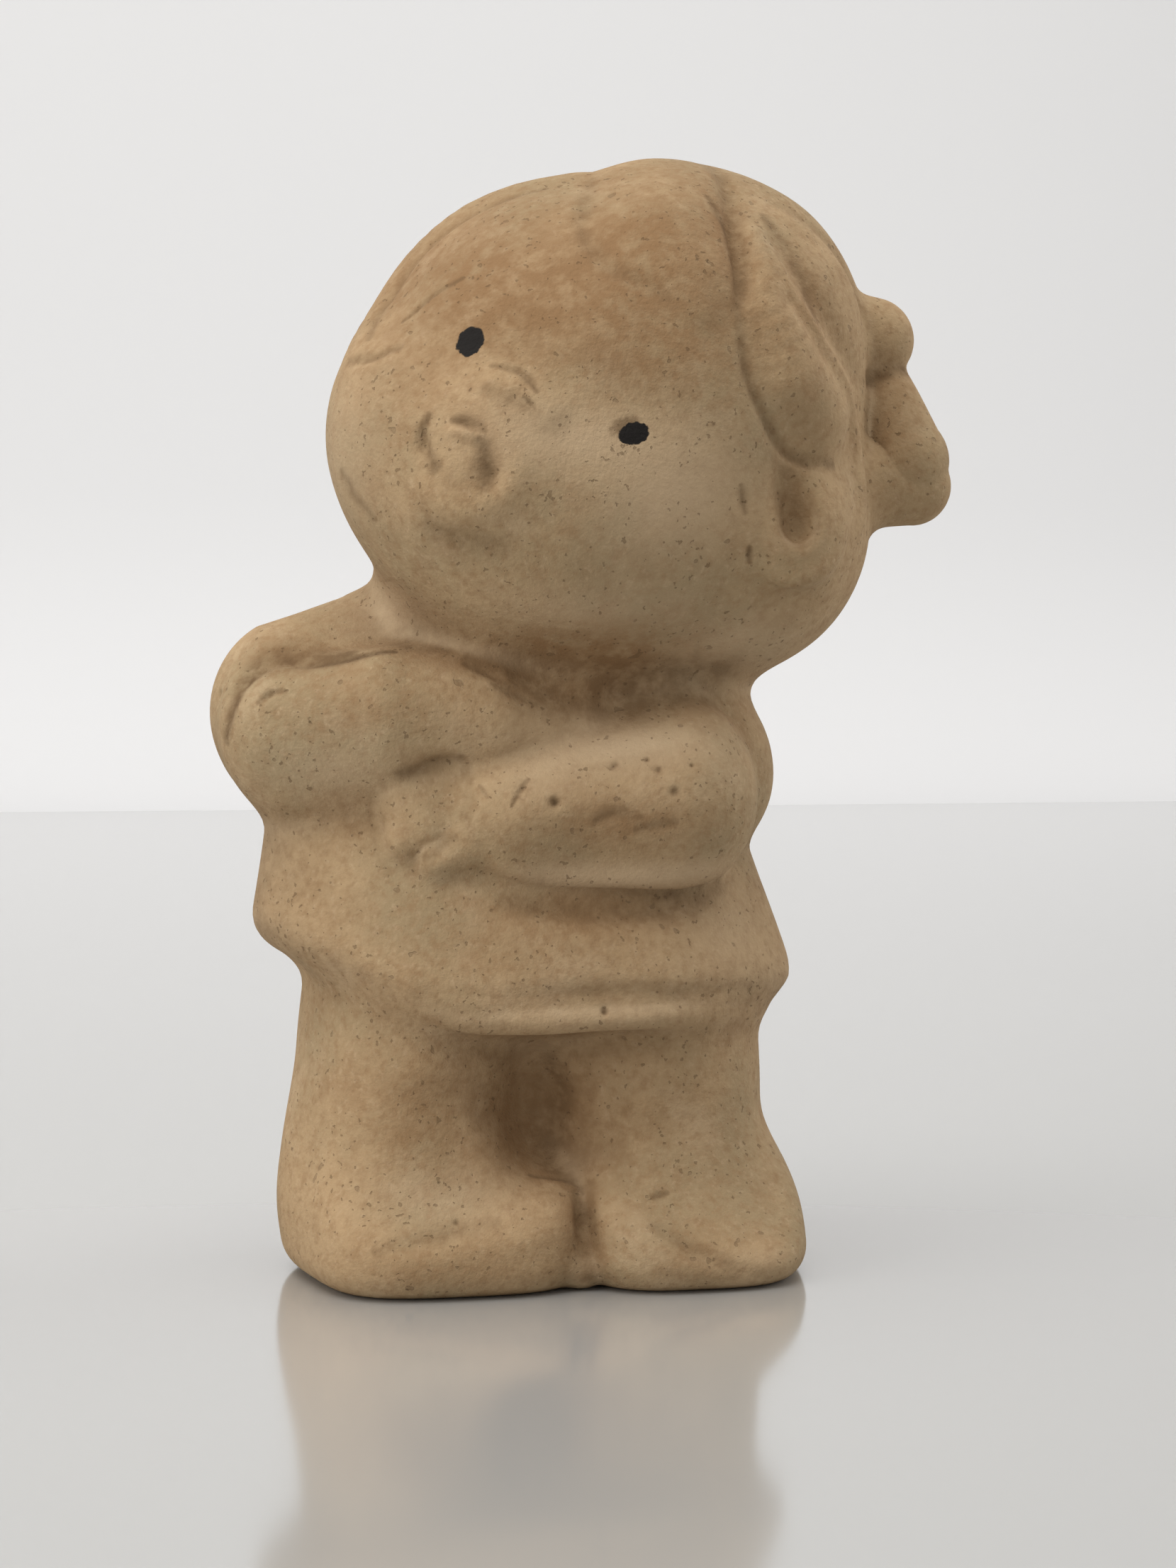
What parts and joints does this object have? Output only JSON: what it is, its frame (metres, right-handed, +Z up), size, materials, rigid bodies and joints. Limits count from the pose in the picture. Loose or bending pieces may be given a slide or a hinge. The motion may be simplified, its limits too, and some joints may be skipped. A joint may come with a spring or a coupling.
{
  "type": "clay figure",
  "caption": "Small unglazed clay figure of a child with folded arms, tipped head, pursed lips and side-tied hair, standing on a flat underside.",
  "frame": {"origin": "on the flat underside, between the two feet", "axes": "+Z up the figure from its underside, -Y the way the body faces, +X towards the figure's left hand"},
  "size_m": [0.0605, 0.0402, 0.0899],
  "materials": {
    "bisque": "matte"
  },
  "bodies": {
    "root": {"figure": "bisque"}
  },
  "joints": []
}
